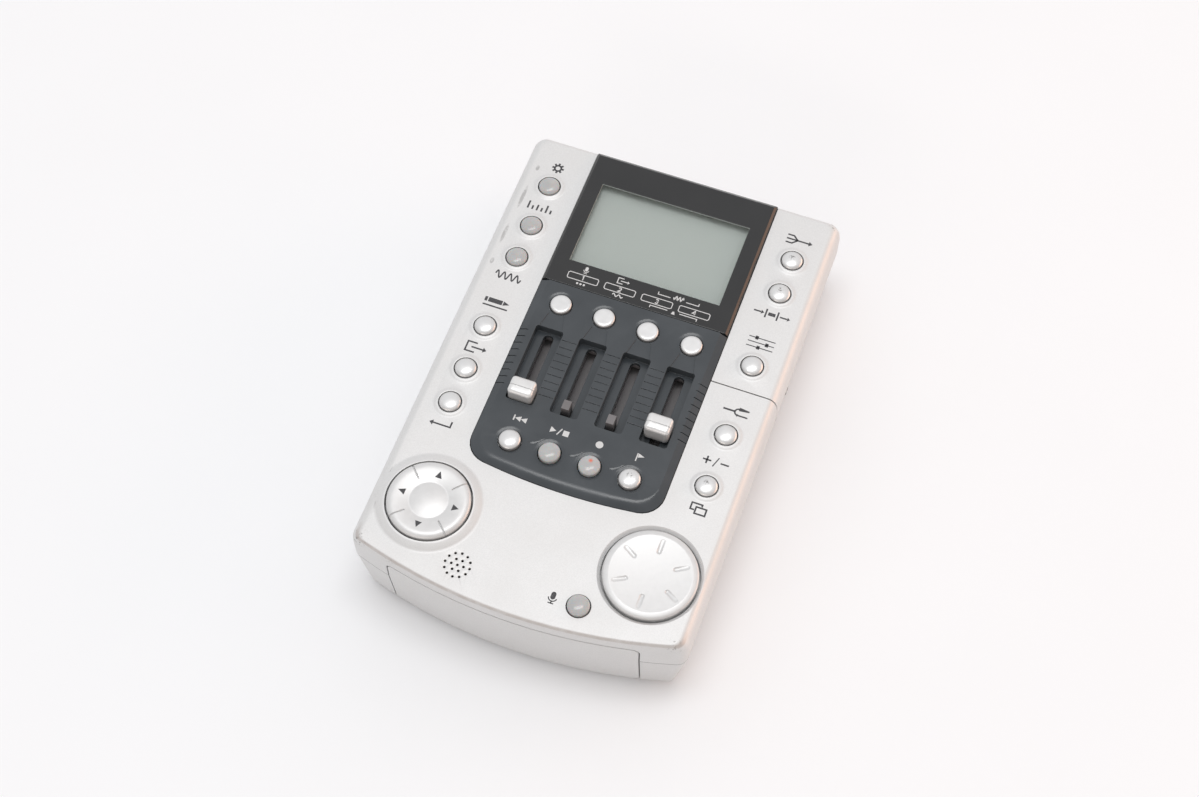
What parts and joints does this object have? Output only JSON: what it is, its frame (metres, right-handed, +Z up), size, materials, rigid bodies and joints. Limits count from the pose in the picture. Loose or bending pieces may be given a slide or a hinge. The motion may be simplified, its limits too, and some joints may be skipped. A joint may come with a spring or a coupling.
{
  "type": "digital multitrack recorder",
  "caption": "Palm-size silver recorder with a display and track sliders on a dark middle panel, round keys on both wings, a jog dial, a cursor pad and a sliding battery cover.",
  "frame": {"origin": "on the table under the middle of the case", "axes": "+X to the right of the person using it, +Y to the rear with the sockets, +Z up through the face with the controls"},
  "size_m": [0.085, 0.132, 0.031],
  "materials": {
    "silver_case": "satin silver paint on plastic",
    "dark_panel": "fine matt",
    "gloss_bezel": "gloss",
    "clear_window": "clear",
    "display_glass": "satin grey-green",
    "white_plastic": "matt",
    "soft_strip": "matt",
    "board": "satin",
    "black_plastic": "matt",
    "steel": "plated",
    "light_metal": "satin",
    "cell": "printed sleeve",
    "rubber": "matt",
    "grey_plastic": "matt",
    "silver_key": "satin silver paint on plastic",
    "grey_key": "milky gloss",
    "card": "satin"
  },
  "bodies": {
    "case": {"top_case": "silver_case", "right_wing_cover": "silver_case", "bottom_case": "silver_case", "control_panel": "dark_panel", "display_bezel": "gloss_bezel", "display_window": "clear_window", "lcd_panel": "display_glass", "lcd_holder": "white_plastic", "lcd_connectors": "soft_strip", "main_board": "board", "board_chips": "black_plastic", "tact_switches": "black_plastic", "fader_tracks": "steel", "encoder_body": "black_plastic", "mic_capsule": "light_metal", "input_jack": "black_plastic", "input_jack_nut": "steel", "mini_jacks": "black_plastic", "dc_jack": "black_plastic", "card_socket": "light_metal", "power_switch_body": "steel", "volume_pot": "black_plastic", "battery_contacts": "steel", "battery_cells": "cell", "case_screws": "steel", "rubber_feet": "rubber"},
    "left_key_1": {"left_key_1": "grey_key"},
    "left_key_2": {"left_key_2": "grey_key"},
    "left_key_3": {"left_key_3": "grey_key"},
    "left_key_4": {"left_key_4": "silver_key"},
    "left_key_5": {"left_key_5": "silver_key"},
    "left_key_6": {"left_key_6": "silver_key"},
    "right_key_1": {"right_key_1": "silver_key"},
    "right_key_2": {"right_key_2": "silver_key"},
    "right_key_3": {"right_key_3": "silver_key"},
    "right_key_4": {"right_key_4": "silver_key"},
    "right_key_5": {"right_key_5": "silver_key"},
    "mic_key": {"mic_key": "grey_key"},
    "status_key_1": {"status_key_1": "silver_key"},
    "status_key_2": {"status_key_2": "silver_key"},
    "status_key_3": {"status_key_3": "silver_key"},
    "status_key_4": {"status_key_4": "silver_key"},
    "rewind_key": {"rewind_key": "silver_key"},
    "play_key": {"play_key": "grey_key"},
    "record_key": {"record_key": "grey_key"},
    "mark_key": {"mark_key": "silver_key"},
    "fader_1": {"fader_lever_1": "grey_plastic", "fader_cap_1": "silver_key"},
    "fader_2": {"fader_lever_2": "grey_plastic"},
    "fader_3": {"fader_lever_3": "grey_plastic"},
    "fader_4": {"fader_lever_4": "grey_plastic", "fader_cap_4": "silver_key"},
    "dial": {"jog_dial": "silver_key", "encoder_shaft": "light_metal"},
    "pad_mat": {"cursor_rubber": "rubber"},
    "pad": {"cursor_pad": "silver_key"},
    "wheel": {"volume_wheel": "black_plastic"},
    "power": {"power_slider": "black_plastic"},
    "card": {"memory_card": "card"},
    "cover": {"battery_cover": "silver_case"}
  },
  "joints": [
    {"name": "left_key_1_press", "type": "slide", "parent": "case", "child": "left_key_1", "axis": [0, 0, -1], "range_m": [0, 0.0005], "stiffness_N_per_m": 400, "springref_m": -0.001},
    {"name": "left_key_2_press", "type": "slide", "parent": "case", "child": "left_key_2", "axis": [0, 0, -1], "range_m": [0, 0.0005], "stiffness_N_per_m": 400, "springref_m": -0.001},
    {"name": "left_key_3_press", "type": "slide", "parent": "case", "child": "left_key_3", "axis": [0, 0, -1], "range_m": [0, 0.0005], "stiffness_N_per_m": 400, "springref_m": -0.001},
    {"name": "left_key_4_press", "type": "slide", "parent": "case", "child": "left_key_4", "axis": [0, 0, -1], "range_m": [0, 0.0005], "stiffness_N_per_m": 400, "springref_m": -0.001},
    {"name": "left_key_5_press", "type": "slide", "parent": "case", "child": "left_key_5", "axis": [0, 0, -1], "range_m": [0, 0.0005], "stiffness_N_per_m": 400, "springref_m": -0.001},
    {"name": "left_key_6_press", "type": "slide", "parent": "case", "child": "left_key_6", "axis": [0, 0, -1], "range_m": [0, 0.0005], "stiffness_N_per_m": 400, "springref_m": -0.001},
    {"name": "right_key_1_press", "type": "slide", "parent": "case", "child": "right_key_1", "axis": [0, 0, -1], "range_m": [0, 0.0005], "stiffness_N_per_m": 400, "springref_m": -0.001},
    {"name": "right_key_2_press", "type": "slide", "parent": "case", "child": "right_key_2", "axis": [0, 0, -1], "range_m": [0, 0.0005], "stiffness_N_per_m": 400, "springref_m": -0.001},
    {"name": "right_key_3_press", "type": "slide", "parent": "case", "child": "right_key_3", "axis": [0, 0, -1], "range_m": [0, 0.0005], "stiffness_N_per_m": 400, "springref_m": -0.001},
    {"name": "right_key_4_press", "type": "slide", "parent": "case", "child": "right_key_4", "axis": [0, 0, -1], "range_m": [0, 0.0005], "stiffness_N_per_m": 400, "springref_m": -0.001},
    {"name": "right_key_5_press", "type": "slide", "parent": "case", "child": "right_key_5", "axis": [0, 0, -1], "range_m": [0, 0.0005], "stiffness_N_per_m": 400, "springref_m": -0.001},
    {"name": "mic_key_press", "type": "slide", "parent": "case", "child": "mic_key", "axis": [0, 0, -1], "range_m": [0, 0.0005], "stiffness_N_per_m": 400, "springref_m": -0.001},
    {"name": "status_key_1_press", "type": "slide", "parent": "case", "child": "status_key_1", "axis": [0, 0, -1], "range_m": [0, 0.0005], "stiffness_N_per_m": 400, "springref_m": -0.001},
    {"name": "status_key_2_press", "type": "slide", "parent": "case", "child": "status_key_2", "axis": [0, 0, -1], "range_m": [0, 0.0005], "stiffness_N_per_m": 400, "springref_m": -0.001},
    {"name": "status_key_3_press", "type": "slide", "parent": "case", "child": "status_key_3", "axis": [0, 0, -1], "range_m": [0, 0.0005], "stiffness_N_per_m": 400, "springref_m": -0.001},
    {"name": "status_key_4_press", "type": "slide", "parent": "case", "child": "status_key_4", "axis": [0, 0, -1], "range_m": [0, 0.0005], "stiffness_N_per_m": 400, "springref_m": -0.001},
    {"name": "rewind_key_press", "type": "slide", "parent": "case", "child": "rewind_key", "axis": [0, 0, -1], "range_m": [0, 0.0005], "stiffness_N_per_m": 400, "springref_m": -0.001},
    {"name": "play_key_press", "type": "slide", "parent": "case", "child": "play_key", "axis": [0, 0, -1], "range_m": [0, 0.0005], "stiffness_N_per_m": 400, "springref_m": -0.001},
    {"name": "record_key_press", "type": "slide", "parent": "case", "child": "record_key", "axis": [0, 0, -1], "range_m": [0, 0.0005], "stiffness_N_per_m": 400, "springref_m": -0.001},
    {"name": "mark_key_press", "type": "slide", "parent": "case", "child": "mark_key", "axis": [0, 0, -1], "range_m": [0, 0.0005], "stiffness_N_per_m": 400, "springref_m": -0.001},
    {"name": "fader_1_slide", "type": "slide", "parent": "case", "child": "fader_1", "axis": [0, 1, 0], "range_m": [0, 0.01665]},
    {"name": "fader_2_slide", "type": "slide", "parent": "case", "child": "fader_2", "axis": [0, 1, 0], "range_m": [0, 0.01665]},
    {"name": "fader_3_slide", "type": "slide", "parent": "case", "child": "fader_3", "axis": [0, 1, 0], "range_m": [0, 0.01665]},
    {"name": "fader_4_slide", "type": "slide", "parent": "case", "child": "fader_4", "axis": [0, 1, 0], "range_m": [-0.0019, 0.01475]},
    {"name": "jog_turn", "type": "hinge", "parent": "case", "child": "dial", "pos_m": [0.0283, -0.0446, 0.0265], "axis": [0, 0, 1], "continuous": true},
    {"name": "cursor_left_right", "type": "hinge", "parent": "case", "child": "pad_mat", "pos_m": [-0.0277, -0.0452, 0.025], "axis": [0, 1, 0], "range_deg": [-2.2, 2.2], "stiffness_Nm_per_rad": 0.2},
    {"name": "cursor_up_down", "type": "hinge", "parent": "pad_mat", "child": "pad", "pos_m": [-0.0277, -0.0452, 0.025], "axis": [1, 0, 0], "range_deg": [-2.2, 2.2], "stiffness_Nm_per_rad": 0.2},
    {"name": "volume_turn", "type": "hinge", "parent": "case", "child": "wheel", "pos_m": [0.0328, 0.0205, 0.0147], "axis": [0, 0, 1], "range_deg": [-135, 135]},
    {"name": "power_slide", "type": "slide", "parent": "case", "child": "power", "axis": [1, 0, 0], "range_m": [0, 0.003]},
    {"name": "card_slide", "type": "slide", "parent": "case", "child": "card", "axis": [-1, 0, 0], "range_m": [0, 0.046]},
    {"name": "cover_slide", "type": "slide", "parent": "case", "child": "cover", "axis": [0, -1, 0], "range_m": [0, 0.068]}
  ]
}
